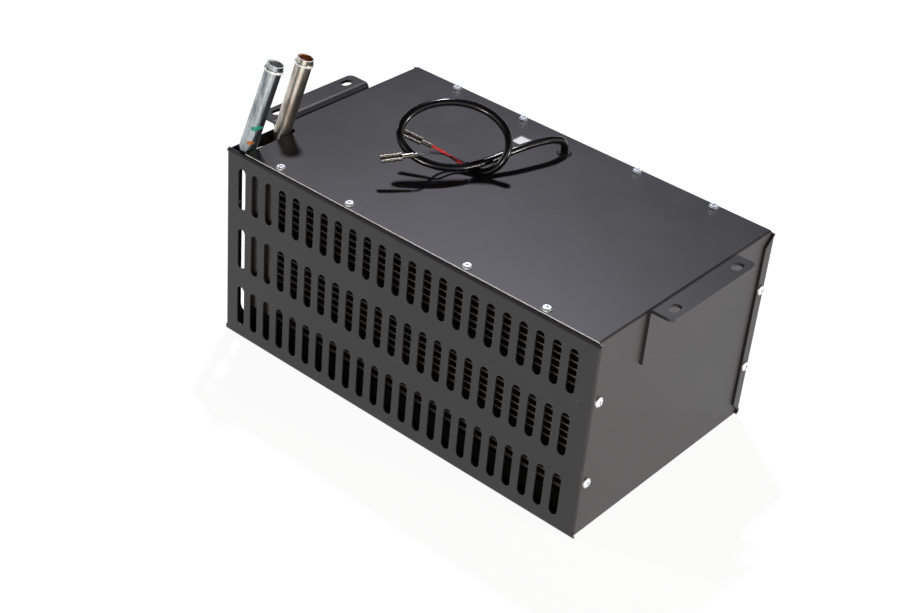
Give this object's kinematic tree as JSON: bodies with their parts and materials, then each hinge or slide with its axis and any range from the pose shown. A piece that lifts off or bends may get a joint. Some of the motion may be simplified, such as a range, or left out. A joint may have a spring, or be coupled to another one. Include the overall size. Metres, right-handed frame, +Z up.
{
  "type": "auxiliary heater",
  "caption": "Black sheet-metal vehicle heater box with a slotted front, end brackets, leaning hose pipes and a looped supply cable on top.",
  "frame": {"origin": "centre of the bounding box at the bottom of the case", "axes": "+X to the right seen from the slotted front, +Y to the back, +Z up"},
  "size_m": [0.468, 0.255, 0.2837],
  "materials": {
    "black_powder_coat": "satin black powder coat",
    "inner_black_sheet": "matt black paint",
    "bright_zinc": "bright zinc plate",
    "tinned_pipe": "tinned, smooth",
    "brass_pipe": "dull brass, worn",
    "core_metal": "tinned brass, dull",
    "fin_metal": "thin copper sheet, darkened",
    "black_foam": "closed-cell foam",
    "black_rubber": "moulded rubber",
    "fan_plastic": "moulded black plastic",
    "motor_steel": "zinc plated pressings",
    "bearing_bronze": "sintered bronze",
    "copper_segments": "machined copper",
    "ferrite": "dark ferrite",
    "carbon": "carbon block",
    "black_sheath": "soft black sheath, some gloss",
    "red_insulation": "red insulation",
    "black_insulation": "black insulation",
    "tinned_terminal": "tinned, dull"
  },
  "bodies": {
    "heater": {"lower_case": "black_powder_coat", "upper_case": "black_powder_coat", "left_bracket": "black_powder_coat", "right_bracket": "black_powder_coat", "air_partition": "inner_black_sheet", "core_shelf": "inner_black_sheet", "motor_cradle": "inner_black_sheet", "motor_straps": "inner_black_sheet", "top_screws": "bright_zinc", "end_screws": "bright_zinc", "scroll_screws": "bright_zinc", "strap_screws": "bright_zinc", "inlet_pipe": "tinned_pipe", "outlet_pipe": "brass_pipe", "left_tank": "core_metal", "right_tank": "core_metal", "left_tube_plate": "core_metal", "right_tube_plate": "core_metal", "core_tubes": "core_metal", "top_side_plate": "core_metal", "bottom_side_plate": "core_metal", "core_fins": "fin_metal", "core_top_seal": "black_foam", "core_bottom_seal": "black_foam", "cable_grommet": "black_rubber", "motor_rubber_rings": "black_rubber", "left_scroll": "fan_plastic", "right_scroll": "fan_plastic", "brush_plate": "fan_plastic", "motor_can": "motor_steel", "motor_left_cap": "motor_steel", "motor_right_cap": "motor_steel", "left_bearing": "bearing_bronze", "right_bearing": "bearing_bronze", "field_magnets": "ferrite", "brushes": "carbon", "supply_cable": "black_sheath", "inner_cable": "black_sheath", "red_wire": "red_insulation", "black_wire": "black_insulation", "red_terminal": "tinned_terminal", "black_terminal": "tinned_terminal"},
    "rotor": {"motor_shaft": "motor_steel", "armature": "motor_steel", "commutator": "copper_segments", "left_impeller": "fan_plastic", "right_impeller": "fan_plastic"}
  },
  "joints": [
    {"name": "blower_spin", "type": "hinge", "parent": "heater", "child": "rotor", "pos_m": [0, 0.045, 0.095], "axis": [1, 0, 0], "continuous": true}
  ]
}
